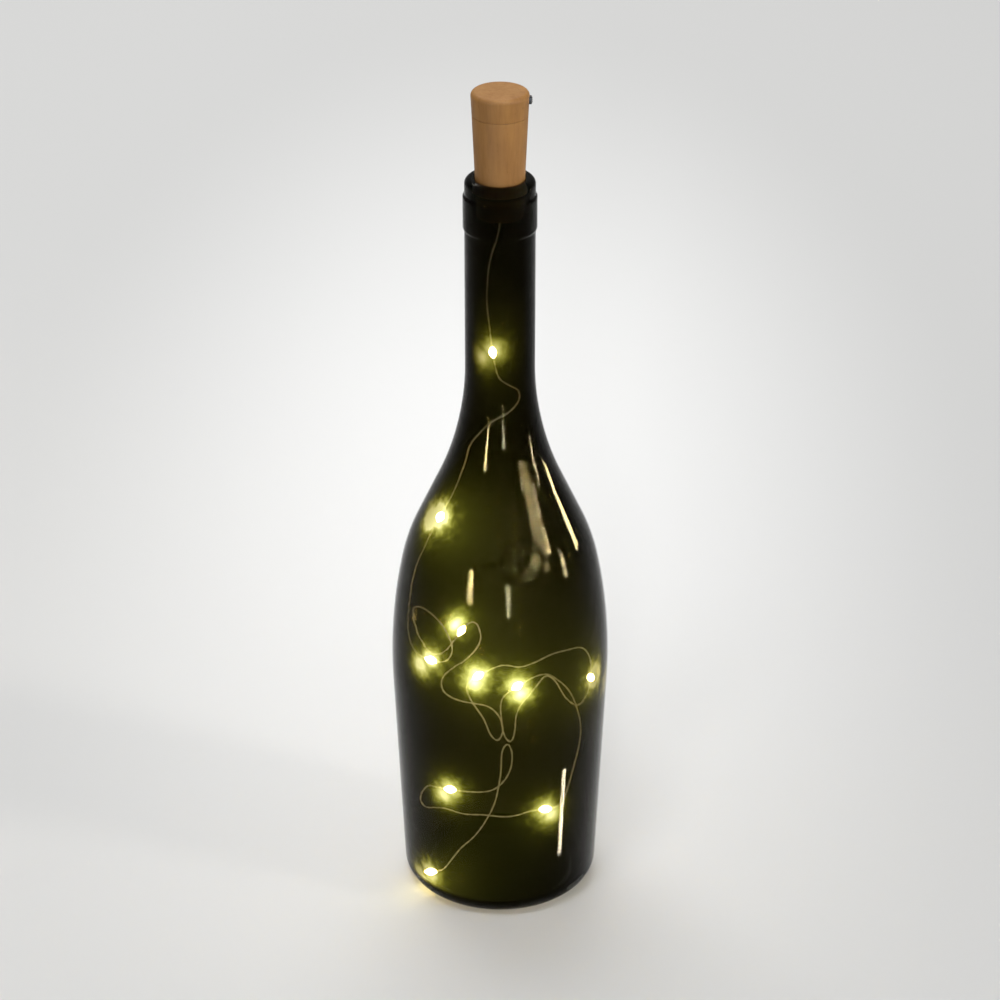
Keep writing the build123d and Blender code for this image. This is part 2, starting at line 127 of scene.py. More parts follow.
# Sizes of the stopper
STOPPER_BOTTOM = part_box("stopper_shell")[0].z
SHELL_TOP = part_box("stopper_shell")[1].z
CAP_BOTTOM, STOPPER_TOP = (corner.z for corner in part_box("top_cap"))
SHELL_LOW_RADIUS = 0.00881
SHELL_HIGH_RADIUS = 0.0106
CAP_LOW_RADIUS = 0.0106
CAP_HIGH_RADIUS = 0.0111
SHELL_BORE_RADIUS = 0.0071
CAP_BORE_RADIUS = 0.009
PLUG_HOLE_RADIUS = 0.0016
SHELL_FLOOR = 0.0018
CAP_THICKNESS = 0.0016
SHELL_SHARES = [0.09, 0.04, 0.04, 0.08]
CAP_SHARES = [0.20, 0.08, 0.08, 0.04]
STOPPER_TURN_STEPS = 128

# The ribs on the switch knob
RIB_COUNT = 3
RIB_SIZE = (0.0004, 0.0009, 0.00035)
RIB_ROUNDING = 0.0001

# Sizes of the wire and its lights
WIRE_DIAMETER = 0.0007
STRAND_RADIUS = 0.00017
STRAND_LAY = 0.007
BEAD_RADIUS = 0.0015
BEAD_HALF_LENGTH = 0.0025
BEAD_BORE_RADIUS = 0.0004
LIGHT_COUNT = 10
CHIP_SIZE = (0.0006, 0.0008, 0.0016)
CHIP_OFFSET = 0.0003
CHIP_ROUNDING = 0.00012
WIRE_STEP = 0.0007

# Heights between which the painted light on the wires fades out, under the mouth
MOUTH_FADE = (0.268, 0.284)

# Lengths of the wires
LEAD_LENGTH = 0.0569
SLACK_LENGTH = 0.1012
STRING_LENGTH = 0.8610
INNER_LENGTH = 0.0733

# Places between which the inner leads bend when the tray is drawn out
INNER_BEND_START = (0, 0, STOPPER_BOTTOM + SHELL_FLOOR + 0.003)
INNER_BEND_END = (0, 0, 0.3105)


def metres(route):
    """A route that is written in millimetres."""
    return [tuple(value / 1000 for value in point) for point in route]


# Routes of the wires, the same points as in the solids, in millimetres. A light sits at
# the end of the lead, of the slack and of the string.
LEAD_ROUTE = metres([
    (0, 0, 292.5), (0, 0, 287.5), (-1.5, 1, 281.5), (-4, 1.5, 273), (-5, 0.5, 264),
    (-5, -1.5, 255), (-4, -3, 248), (-3.5, -3.5, 242.5), (-2.75, -3, 236.75),
])
SLACK_ROUTE = metres([
    (-2.75, -3, 236.75), (-2, -2.5, 231), (-0.5, -5.5, 226.5), (4, -3.5, 222.5),
    (7.5, 2, 218.5), (8, 6.5, 212), (4.5, 7.5, 206.5), (-0.5, 3.5, 205.5), (-4, -4, 207),
    (-7, -8, 205.5), (-11.5, -8, 199.5), (-13, -2, 190), (-17, -4.5, 179),
    (-20.5, -9, 173.5), (-23, -8.25, 168),
])
INNER_ROUTE = metres([
    (0, -6.4, 333.8), (0.2, -6.4, 329.6), (-0.2, -6.35, 324.4), (0.2, -6.4, 318),
    (0, -6.4, 311), (3.6, -4.6, 308.2), (5.7, 0, 307.4), (4.1, 4, 306.8),
    (0, 5.7, 306.2), (-4.1, 4, 305.6), (-5.7, 0, 305), (-4.1, -4.1, 304.4),
    (0, -5.7, 303.8), (3.6, -3.9, 303), (4, -0.5, 301.8), (1.4, 1.2, 300.2),
    (0, 0, 298.2), (0, 0, 295.3),
])
STRING_ROUTE = metres([
    (-23, -8.25, 168), (-25.5, -7.5, 162.5), (-28, -4, 156.5), (-29.5, 2, 150),
    (-35, 9, 135), (-36.5, 8, 125), (-37, 2, 119), (-36.5, -7, 116), (-34.5, -14, 113),
    (-32, -20, 112.5), (-22, -25, 111), (-18, -20, 114), (-20.5, -16.5, 120.5),
    (-25, -13.5, 126), (-31.5, -5, 126.5), (-35.5, 4, 120.5), (-35, 11.5, 109.5),
    (-33.5, 18.5, 98.5), (-29, 25, 87), (-23.5, 29.5, 84.5), (-19.5, 30, 90),
    (-12.5, 31.5, 99.5), (-8.5, 26.5, 99.5), (-7.5, 20.5, 95), (-13.5, 9, 93.5),
    (-19, -4, 97.5), (-23.5, -17.5, 100.5), (-22.5, -27.5, 100), (-17, -33, 99.5),
    (-10, -35.5, 99.5), (-4, -36.5, 99), (0, -37, 94.5), (1.5, -37, 88.5),
    (-0.5, -33.5, 80.5), (-4, -29, 81), (-6, -29.5, 88.5), (-9.5, -31, 95),
    (-12.5, -32.5, 101.5), (-13.5, -34, 108), (-3.5, -34, 114.5), (2, -34, 116.5),
    (7.5, -34.5, 115), (14, -32.5, 116.5), (20, -28.5, 118), (26, -23, 116.5),
    (32, -17, 115), (35.5, -9.5, 106.5), (36.5, -5.5, 98), (36.5, -0.5, 87), (35, 3, 79),
    (32, 8, 72), (27, 10, 74.5), (24.5, 5, 82.5), (21.5, -3, 92), (18, -12.5, 99),
    (15, -21, 100), (12, -28, 99.5), (8, -33, 97.5), (6, -35.5, 93.5), (6, -36.5, 88),
    (4.5, -33.5, 80), (1.5, -28.5, 80), (0.5, -29, 88), (0, -31.5, 97.5), (2, -34, 103),
    (11.5, -34, 110), (18, -32, 111.5), (22, -29, 107), (27, -25, 100), (30, -21.5, 90.5),
    (32, -19.5, 80.5), (31.5, -19, 71), (29.5, -20.5, 62.5), (26.5, -25, 52.5),
    (24, -28, 46.5), (12, -29.5, 46), (6.5, -32, 45), (0.5, -33.5, 45.5), (-7, -34, 47),
    (-14.5, -32.5, 46), (-21, -28.5, 46.5), (-25.5, -24.5, 44.5), (-30, -18, 40),
    (-32.5, -14.5, 43), (-29, -19, 52), (-25.5, -26, 55), (-14, -29.5, 55),
    (-8.5, -34, 57.5), (-3, -35.5, 59), (1.5, -36, 63.5), (4.5, -35.5, 69.5),
    (5, -34.5, 76.5), (3, -30, 78.5), (0.5, -26.5, 72), (0.5, -27, 63.5),
    (-0.5, -26.5, 55.5), (-2, -26, 47), (-5.5, -25, 38.5), (-10, -23, 29.5),
    (-16, -20, 22), (-21, -19, 13.5), (-24, -16.5, 8), (-28, -15.5, 7.5),
])

# A light sits after each of these counts of the string's points
STRING_BREAKS = (10, 21, 39, 48, 65, 75, 86)


def light_places():
    """Middle and direction of each light, from the stopper to the far end."""
    places = [
        (Vector(route[-1]), Vector(route[-1]) - Vector(route[-2]))
        for route in (LEAD_ROUTE, SLACK_ROUTE, STRING_ROUTE)
    ]
    for count in STRING_BREAKS:
        start, end = Vector(STRING_ROUTE[count - 1]), Vector(STRING_ROUTE[count])
        places.insert(-1, ((start + end) / 2, end - start))
    return places


LIGHT_PLACES = light_places()


# Settings

def color_setting(name, default, description):
    return FloatVectorProperty(
        name=name, description=description, subtype="COLOR", default=default,
        min=0, max=1,
    )


def number_setting(name, default, description, unit="NONE"):
    return FloatProperty(
        name=name, description=description, default=default, min=0, unit=unit,
    )


# Modelling helpers

# Vertices closer than this are merged
MERGE_DISTANCE = 1e-6
# Stretches of a line count as at least this long
LEAST_STRETCH = 1e-9
# A corner of an outline is looked for within this distance
CORNER_REACH = 0.000014


def add_object(name, data):
    thing = bpy.data.objects.new(name, data)
    bpy.context.scene.collection.objects.link(thing)
    return thing


def deselect_all():
    if bpy.context.object and bpy.context.object.mode != "OBJECT":
        bpy.ops.object.mode_set(mode="OBJECT")
    bpy.ops.object.select_all(action="DESELECT")


def activate(piece):
    deselect_all()
    piece.select_set(True)
    bpy.context.view_layer.objects.active = piece


def apply_modifier(piece, kind, **values):
    """Add one modifier and apply it at once."""
    activate(piece)
    bpy.ops.object.modifier_add(type=kind)
    modifier = piece.modifiers[-1]
    for key, value in values.items():
        setattr(modifier, key, value)
    bpy.ops.object.modifier_apply(modifier=modifier.name)


def smooth(piece, degrees=35):
    activate(piece)
    bpy.ops.object.shade_smooth_by_angle(angle=math.radians(degrees))


def place_in_mesh(piece):
    """Put the piece's place, turn and scale into its mesh."""
    activate(piece)
    bpy.ops.object.transform_apply(location=True, rotation=True, scale=True)


def add_block(place, size):
    """A box by its middle and its size."""
    deselect_all()
    bpy.ops.mesh.primitive_cube_add(size=1, location=place)
    piece = bpy.context.object
    piece.scale = size
    place_in_mesh(piece)
    return piece


def duplicate(source):
    activate(source)
    bpy.ops.object.duplicate(linked=False)
    return bpy.context.object


def join(pieces):
    """Join the pieces into the first one."""
    activate(pieces[0])
    for piece in pieces[1:]:
        piece.select_set(True)
    bpy.ops.object.join()
    return pieces[0]


def merge_close():
    """In edit mode, merge the vertices that share a place."""
    bpy.ops.mesh.select_all(action="SELECT")
    bpy.ops.mesh.remove_doubles(threshold=MERGE_DISTANCE)


def select_where(piece, test):
    """In edit mode, select the vertices for which the test holds."""
    mesh = bmesh.from_edit_mesh(piece.data)
    for vertex in mesh.verts:
        vertex.select = test(vertex.co)
    mesh.select_flush_mode()
    bmesh.update_edit_mesh(piece.data)


def draw_outline(name, corners, shares, arc_steps=10, closed=False):
    """Draw an outline in the XZ plane corner by corner, then round its corners."""
    deselect_all()
    bpy.ops.mesh.primitive_plane_add()
    piece = bpy.context.object
    piece.name = piece.data.name = name
    bpy.ops.object.mode_set(mode="EDIT")
    bpy.ops.mesh.select_all(action="SELECT")
    bpy.ops.mesh.merge(type="CENTER")
    points = [Vector((radius, 0, height)) for radius, height in corners]
    bpy.ops.transform.translate(value=points[0])
    for before, after in zip(points, points[1:]):
        step = {"value": after - before}
        bpy.ops.mesh.extrude_region_move(TRANSFORM_OT_translate=step)
    for before, corner, after, share in zip(points, points[1:], points[2:], shares):
        if share:
            arriving, leaving = corner - before, after - corner
            half_turn = arriving.angle(leaving) / 2
            bulge = 1 - 1 / (2 * (1 + math.cos(half_turn)))
            select_where(piece, lambda place: (place - corner).length < CORNER_REACH)
            bpy.ops.mesh.bevel(
                offset_type="ABSOLUTE",
                offset=share * min(arriving.length, leaving.length),
                segments=arc_steps,
                profile=bulge * bulge,
                affect="VERTICES",
            )
    if closed:
        ends = (points[0], points[-1])
        select_where(piece, lambda place: any(
            (place - end).length < MERGE_DISTANCE for end in ends
        ))
        bpy.ops.mesh.edge_face_add()
    return piece


def spin_outline(piece, steps):
    """Turn the outline once round the Z axis and close the seam and the poles."""
    bpy.ops.mesh.select_all(action="SELECT")
    bpy.ops.mesh.spin(
        steps=steps, angle=math.tau, use_auto_merge=True, center=(0, 0, 0), axis=(0, 0, 1)
    )
    merge_close()
    bpy.ops.mesh.normals_make_consistent(inside=False)
    bpy.ops.object.mode_set(mode="OBJECT")
    return piece


def copy_node(node, name):
    """A merged, smoothly shaded copy of a CAD node's mesh."""
    piece = duplicate(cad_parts[node])
    piece.parent = None
    for key in list(piece.keys()):
        if key.startswith("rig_"):
            del piece[key]
    piece.name = piece.data.name = name
    bpy.ops.object.mode_set(mode="EDIT")
    merge_close()
    bpy.ops.mesh.dissolve_limited(angle_limit=math.radians(0.5))
    bpy.ops.object.mode_set(mode="OBJECT")
    piece.data.materials.clear()
    smooth(piece)
    return piece


def dress(piece, body, slot, material, *nodes):
    """Give a piece its material and its body and hide the nodes that it stands for; the slot is not used."""
    piece.data.materials.clear()
    piece.data.materials.append(material)
    if "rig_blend" not in piece:
        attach(piece, body)
    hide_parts(*nodes)
    return piece


# Material helpers

class Tree:
    """Short names for adding nodes to a material, a world or a node group."""

    def __init__(self, tree):
        self.tree = tree

    def node(self, kind, inputs=None, **values):
        node = self.tree.nodes.new(kind)
        for key, value in values.items():
            setattr(node, key, value)
        for key, value in (inputs or {}).items():
            if isinstance(value, bpy.types.NodeSocket):
                self.tree.links.new(value, node.inputs[key])
            else:
                node.inputs[key].default_value = value
        return node

    def math(self, operation, *values, clamp=False):
        inputs = dict(enumerate(values))
        return self.node(
            "ShaderNodeMath", inputs, operation=operation, use_clamp=clamp
        ).outputs[0]

    def mix(self, factor, low, high):
        inputs = {0: factor, 6: low, 7: high}
        return self.node("ShaderNodeMix", inputs, data_type="RGBA").outputs[2]

    def ramp(self, value, low, high, to_low=0.0, to_high=1.0, kind="LINEAR"):
        """The value's way from low to high, as a way from to_low to to_high."""
        inputs = {0: value, 1: low, 2: high, 3: to_low, 4: to_high}
        return self.node(
            "ShaderNodeMapRange", inputs, interpolation_type=kind
        ).outputs[0]

    def noise(self, vector, scale, detail=3.0, roughness=0.5):
        return self.node("ShaderNodeTexNoise", {
            "Vector": vector, "Scale": scale, "Detail": detail, "Roughness": roughness,
        }).outputs[0]

    def apart(self, here, there):
        """Distance between two places."""
        return self.node(
            "ShaderNodeVectorMath", {0: here, 1: there}, operation="DISTANCE"
        ).outputs["Value"]

    def bump(self, height, distance, strength):
        return self.node("ShaderNodeBump", {
            "Height": height, "Distance": distance, "Strength": strength,
        }).outputs[0]

    def put_out(self, result, **values):
        """Link values to the outputs of a node group."""
        for label, value in values.items():
            self.tree.links.new(value, result.inputs[label])

    def place(self, stretch=(1, 1, 1)):
        """Object coordinates, scaled along each axis."""
        coordinates = self.node("ShaderNodeTexCoord").outputs["Object"]
        inputs = {"Vector": coordinates, "Scale": stretch}
        return self.node("ShaderNodeMapping", inputs).outputs[0]


def new_material(name):
    material = bpy.data.materials.new(name)
    material.use_nodes = True
    material.node_tree.nodes.clear()
    return material, Tree(material.node_tree)


def finish_material(tree, inputs, volume=None):
    """Add the surface's shader with its inputs and link it to the output."""
    shader = tree.node("ShaderNodeBsdfPrincipled", inputs)
    output = tree.node("ShaderNodeOutputMaterial", {"Surface": shader.outputs[0]})
    if volume:
        tree.tree.links.new(volume.outputs[0], output.inputs["Volume"])


def new_group(name, inputs, outputs):
    """A shader node group; inputs are (name, type, default), outputs (name, type)."""
    group = bpy.data.node_groups.new(name, "ShaderNodeTree")
    for label, kind, default in inputs:
        socket = group.interface.new_socket(name=label, in_out="INPUT", socket_type=kind)
        socket.default_value = default
    for label, kind in outputs:
        group.interface.new_socket(name=label, in_out="OUTPUT", socket_type=kind)
    tree = Tree(group)
    given = tree.node("NodeGroupInput").outputs
    result = tree.node("NodeGroupOutput")
    return group, tree, given, result


def use_group(tree, group, **inputs):
    inputs = {label.replace("_", " "): value for label, value in inputs.items()}
    return tree.node("ShaderNodeGroup", inputs, node_tree=group).outputs


FLOAT = "NodeSocketFloat"
COLOR = "NodeSocketColor"


def surface_wear_group():
    """Fine unevenness for moulded plastic and sheet metal: a tint and a roughness."""
    existing = bpy.data.node_groups.get("surface_wear")
    if existing:
        return existing
    group, tree, given, result = new_group(
        "surface_wear",
        [("Color", COLOR, (1, 1, 1, 1)), ("Roughness", FLOAT, 0.4),
         ("Scale", FLOAT, 400.0)],
        [("Color", COLOR), ("Roughness", FLOAT), ("Height", FLOAT)],
    )
    place = tree.place()
    fine = tree.noise(place, given["Scale"], detail=4.0)
    broad = tree.noise(place, scale=60.0, detail=2.0)
    shade = tree.math("MULTIPLY_ADD", broad, 0.3, 0.85)
    tinted = tree.node(
        "ShaderNodeVectorMath", {0: given["Color"], 1: shade}, operation="MULTIPLY"
    ).outputs[0]
    rough = tree.math("MULTIPLY_ADD", fine, 0.25, -0.125)
    rough = tree.math("ADD", given["Roughness"], rough)
    tree.put_out(result, Color=tinted, Roughness=rough, Height=fine)
    return group


def plain_finish(
    name, color, roughness, metallic=0.0, bump=0.00002, scale=400.0, **sockets
):
    """A moulded or sheet finish with fine unevenness, in relief where it has bump."""
    material, tree = new_material(name)
    wear = use_group(
        tree, surface_wear_group(), Color=(*color, 1), Roughness=roughness, Scale=scale
    )
    inputs = {
        "Base Color": wear["Color"],
        "Roughness": wear["Roughness"],
        "Metallic": metallic,
    }
    if bump:
        inputs["Normal"] = tree.bump(wear["Height"], distance=bump, strength=0.6)
    inputs.update({key.replace("_", " "): value for key, value in sockets.items()})
    finish_material(tree, inputs)
    return material


# The bottle

# Name of the attribute that is 1 on the bottle's inner face, where the painted glow goes
PAINTED_GLOW = "haze"
# The way from the lights to the viewer, along which each light's second painted glow spot is put
FRONT = Vector((0, -0.84, 0.54))
# A light must be closer than this to the glass in front before it gets a painted glow spot there too
FRONT_REACH = 2 * HEEL_RADIUS / 3
# The glass is thicker to look through toward its sides, so the painted glow of lights there is made brighter
SIDE_GAIN = 8.0
SIDE_POWER = 8

OUTLINE_STEPS = 12
WALL_CUTS = 7
RELIEF_CUTS = 4


class BottleSettings(bpy.types.PropertyGroup):
    absorption_color: color_setting(
        "Absorption Color", (0.34, 0.29, 0.10), "Light that the glass lets through",
    )
    absorption_density: number_setting(
        "Absorption Density", 1250.0, "How strongly a metre of the glass takes out light",
    )
    # The painted glow on the glass's inner face round each light
    glow_color: color_setting("Glow Color", (0.82, 1.0, 0.16), "Colour of the haze")
    painted_core_color: color_setting("Core Color", (0.84, 1.0, 1.0), "Colour of the bright haze")
    painted_glow_strength: number_setting("Glow Strength", 28.0, "Brightness of the haze")
    near_reach: number_setting("Near Reach", 0.0078, "Reach of the bright haze", "LENGTH")
    far_reach: number_setting("Far Reach", 0.016, "Reach of the faint haze", "LENGTH")
    faint_share: number_setting("Faint Share", 0.016, "Brightness of the faint haze")
    refraction: number_setting("Refraction", 1.15, "Index of refraction of the glass")
    roughness: number_setting("Glass Roughness", 0.015, "Roughness of the glass")
    reflection_tint: color_setting(
        "Reflection Tint", (1.0, 0.8, 0.35), "Colour of the reflections in the glass",
    )
    turn_steps: IntProperty(
        name="Turn Steps", description="Faces once round the bottle", default=128, min=24,
    )


def painted_glow_places(piece):
    """Where each light's painted glow sits on the inner face, beside and in front, and how bright."""
    places = []
    for middle, _ in LIGHT_PLACES:
        beside = piece.ray_cast(middle, Vector((middle.x, middle.y, 0)))[1]
        front = piece.ray_cast(middle, FRONT)[1]
        if (front - middle).length >= FRONT_REACH:
            front = beside
        aside = abs(front.x) / math.hypot(front.x, front.y)
        places.append((beside, front, 1 + SIDE_GAIN * aside ** SIDE_POWER))
    return places


def fading(tree, distance, reach, power):
    """1 at no distance, less with every reach."""
    share = tree.math("DIVIDE", distance, reach)
    return tree.math("POWER", tree.math("MULTIPLY_ADD", share, share, 1.0), power)


def painted_lamp_glow_group(places):
    """Painted glow: how brightly each place glows from the lights close to it, by distance alone."""
    group, tree, given, result = new_group(
        "lamp_glow",
        [("Near Reach", FLOAT, 0.005), ("Far Reach", FLOAT, 0.016),
         ("Faint Share", FLOAT, 0.02)],
        [("Glow", FLOAT)],
    )
    here = tree.node("ShaderNodeTexCoord").outputs["Object"]
    cloud = tree.noise(here, scale=330.0, detail=2.0)
    uneven = tree.math("MULTIPLY_ADD", cloud, 0.9, 0.55)
    total = 0.0
    for beside, front, gain in places:
        distance = tree.math("MINIMUM", tree.apart(here, beside), tree.apart(here, front))
        near = tree.math("MULTIPLY", distance, uneven)
        bright = fading(tree, near, given["Near Reach"], -5.0)
        faint = fading(tree, distance, given["Far Reach"], -2.0)
        light = tree.math("MULTIPLY_ADD", faint, given["Faint Share"], bright)
        total = tree.math("MULTIPLY_ADD", light, gain, total)
    tree.put_out(result, Glow=tree.math("MINIMUM", total, 1.0))
    return group


def bottle_glass_material(settings, places):
    """Dark glass with a painted glow on its inner face beside the lights."""
    material, tree = new_material("dark green glass")
    ripple = tree.noise(tree.place((26, 26, 7)), scale=1.0, detail=2.0)
    fine = tree.noise(tree.place((1, 1, 0.45)), scale=240.0, detail=2.0)
    height = tree.math("MULTIPLY_ADD", fine, 0.05, ripple)
    # Painted glow: the inner face glows round each light by distance alone, not lit by it
    glow = use_group(
        tree, painted_lamp_glow_group(places), Near_Reach=settings.near_reach,
        Far_Reach=settings.far_reach, Faint_Share=settings.faint_share,
    )["Glow"]
    haze = tree.node("ShaderNodeAttribute", attribute_name=PAINTED_GLOW).outputs["Fac"]
    shine = tree.math("MULTIPLY", glow, haze)
    shine_color = tree.mix(glow, (*settings.glow_color, 1), (*settings.painted_core_color, 1))
    volume = tree.node("ShaderNodeVolumeAbsorption", {
        "Color": (*settings.absorption_color, 1), "Density": settings.absorption_density,
    })
    finish_material(tree, {
        "Base Color": (1, 1, 1, 1),
        "Roughness": settings.roughness,
        "IOR": settings.refraction,
        "Specular Tint": (*settings.reflection_tint, 1),
        "Transmission Weight": 1.0,
        "Emission Color": tree.mix(shine, (0, 0, 0, 1), shine_color),
        "Emission Strength": settings.painted_glow_strength,
        "Normal": tree.bump(height, distance=0.0007, strength=0.5),
    }, volume)
    return material


def ornament_axes():
    """Across, up and out of the shoulder at the ornament, and its middle."""
    across = Vector((math.cos(ORNAMENT_TURN), math.sin(ORNAMENT_TURN), 0))
    out = Vector((math.sin(ORNAMENT_TURN), -math.cos(ORNAMENT_TURN), 0))
    facing = out * math.cos(ORNAMENT_TILT) + Vector((0, 0, math.sin(ORNAMENT_TILT)))
    return across, facing.cross(across), facing, out * ORNAMENT_REACH + Vector(
        (0, 0, ORNAMENT_HEIGHT)
    )


def ornament_dots():
    """Places and radii of the dots, across and up from the ornament's middle."""
    row_step = DOT_PITCH * math.sin(math.pi / 3)
    top = row_step * (len(DOT_ROWS) - 1) / 2
    dots = []
    for row, count in enumerate(DOT_ROWS):
        for place in range(count):
            across = (place - (count - 1) / 2) * DOT_PITCH
            dots.append((across, top - row * row_step, DOT_RADIUS))
    for reach, radius in SIDE_DOTS:
        dots += [(-reach, 0, radius), (reach, 0, radius)]
    return dots


def ornament_relief(across, up, dots):
    """Height of the relief at a place: a rounded band and round-topped dots."""
    ring_middle = ORNAMENT_RADIUS - ORNAMENT_BAND / 2
    off_ring = abs(math.hypot(across, up) - ring_middle) / (ORNAMENT_BAND / 2)
    best = max(0.0, 1 - off_ring ** 2)
    for dot_across, dot_up, radius in dots:
        off_dot = math.hypot(across - dot_across, up - dot_up) / radius
        if off_dot < 1:
            best = max(best, (1 - off_dot ** 2) ** 0.5)
    return ORNAMENT_RELIEF * best


def raise_ornament(piece):
    """Subdivide the shoulder's outer face where the ornament stands and raise it."""
    across_axis, up_axis, facing, middle = ornament_axes()
    half_width = SIDE_DOTS[-1][0] + 2 * SIDE_DOTS[-1][1]
    half_height = ORNAMENT_RADIUS + ORNAMENT_BAND

    def spot(place):
        offset = place - middle
        return offset.dot(across_axis), offset.dot(up_axis), offset.dot(facing)

    activate(piece)
    bpy.ops.object.mode_set(mode="EDIT")
    bpy.ops.mesh.select_mode(type="FACE")
    mesh = bmesh.from_edit_mesh(piece.data)
    for face in mesh.faces:
        across, up, out = spot(face.calc_center_median())
        outside = face.normal.dot(facing) > 0.3 and out > -ORNAMENT_REACH / 3
        face.select_set(outside and abs(across) < half_width and abs(up) < half_height)
    bmesh.update_edit_mesh(piece.data)
    bpy.ops.mesh.subdivide(number_cuts=RELIEF_CUTS, smoothness=0)
    bpy.ops.mesh.select_mode(type="VERT")
    dots = ornament_dots()
    mesh = bmesh.from_edit_mesh(piece.data)
    for vertex in mesh.verts:
        if vertex.select:
            across, up, _ = spot(vertex.co)
            vertex.co += vertex.normal * ornament_relief(across, up, dots)
    bmesh.update_edit_mesh(piece.data)
    bpy.ops.object.mode_set(mode="OBJECT")


def mark_inner_face(piece):
    """Store where the painted glow may show: 1 on the bottle's inner face and 0 outside."""
    haze = piece.data.attributes.new(PAINTED_GLOW, "FLOAT", "POINT")
    for vertex in piece.data.vertices:
        place, normal = vertex.co, vertex.normal
        outward = Vector((place.x, place.y, 0)).normalized()
        on_wall = normal.dot(outward) < -0.2 and place.z > BASE_THICKNESS
        on_floor = normal.z > 0.5 and place.z < 2 * PUNT_DEPTH
        under = normal.z < -0.2 and place.z < PUNT_DEPTH + BASE_THICKNESS / 2
        haze.data[vertex.index].value = float((on_wall or on_floor) and not under)


class BottleOperator(bpy.types.Operator):
    """Turn the bottle from its outline and raise the ornament on its shoulder"""

    bl_idname = "bottle_light.bottle"
    bl_label = "Bottle"

    def execute(self, context):
        settings = context.scene.bottle_settings
        piece = draw_outline("bottle", BOTTLE_CORNERS, BOTTLE_SHARES, OUTLINE_STEPS)
        bpy.ops.mesh.select_all(action="DESELECT")
        mesh = bmesh.from_edit_mesh(piece.data)
        for edge in mesh.edges:
            if edge.calc_length() > WALL:
                edge.select_set(True)
        bmesh.update_edit_mesh(piece.data)
        bpy.ops.mesh.subdivide(number_cuts=WALL_CUTS)
        spin_outline(piece, settings.turn_steps)
        raise_ornament(piece)
        smooth(piece, 60)
        mark_inner_face(piece)
        material = bottle_glass_material(settings, painted_glow_places(piece))
        dress(piece, "bottle", "green_glass", material, "bottle_glass")
        return {"FINISHED"}


# The stopper

class StopperSettings(bpy.types.PropertyGroup):
    light_color: color_setting("Light Cork", (0.32, 0.158, 0.046), "Colour of the cork")
    dark_color: color_setting("Dark Cork", (0.19, 0.085, 0.022), "Colour of its streaks")
    slot_width: number_setting("Slot Width", 0.0038, "Width of the slot", "LENGTH")
    slot_height: number_setting("Slot Height", 0.0032, "Height of the slot", "LENGTH")


def cork_grain_group():
    """The cork look: upright streaks, small pits and a slow change of tone."""
    group, tree, given, result = new_group(
        "cork_grain",
        [
            ("Light", COLOR, (0.42, 0.22, 0.09, 1)),
            ("Dark", COLOR, (0.25, 0.12, 0.045, 1)),
        ],
        [("Color", COLOR), ("Roughness", FLOAT), ("Height", FLOAT)],
    )
    upright = tree.noise(tree.place((1, 1, 0.12)), scale=700.0, detail=4.0, roughness=0.6)
    streaks = tree.ramp(upright, 0.42, 0.72, to_high=0.3)
    clouds = tree.noise(tree.place((1, 1, 0.4)), scale=120.0)
    broad = tree.ramp(clouds, 0.3, 0.7, to_high=0.45)
    cells = tree.node(
        "ShaderNodeTexVoronoi", {"Vector": tree.place((1, 1, 0.55)), "Scale": 900.0}
    ).outputs["Distance"]
    gate = tree.ramp(tree.noise(tree.place(), scale=420.0, detail=2.0), 0.52, 0.66)
    pits = tree.math("MULTIPLY", tree.ramp(cells, 0.12, 0.32, 1.0, 0.0), gate)
    streaked = tree.math("ADD", streaks, broad)
    tone = tree.math("ADD", streaked, tree.math("MULTIPLY", pits, 0.3), clamp=True)
    sunk = tree.math("MULTIPLY", streaks, -0.5)
    tree.put_out(
        result,
        Color=tree.mix(tone, given["Light"], given["Dark"]),
        Roughness=tree.ramp(tone, 0.0, 1.0, 0.42, 0.62),
        Height=tree.math("ADD", sunk, tree.math("MULTIPLY", pits, -1.0)),
    )
    return group


def cork_material(settings):
    material, tree = new_material("cork look")
    grain = use_group(
        tree, cork_grain_group(),
        Light=(*settings.light_color, 1), Dark=(*settings.dark_color, 1),
    )
    finish_material(tree, {
        "Base Color": grain["Color"],
        "Roughness": grain["Roughness"],
        "Specular IOR Level": 0.12,
        "Normal": tree.bump(grain["Height"], distance=0.0001, strength=0.7),
    })
    return material


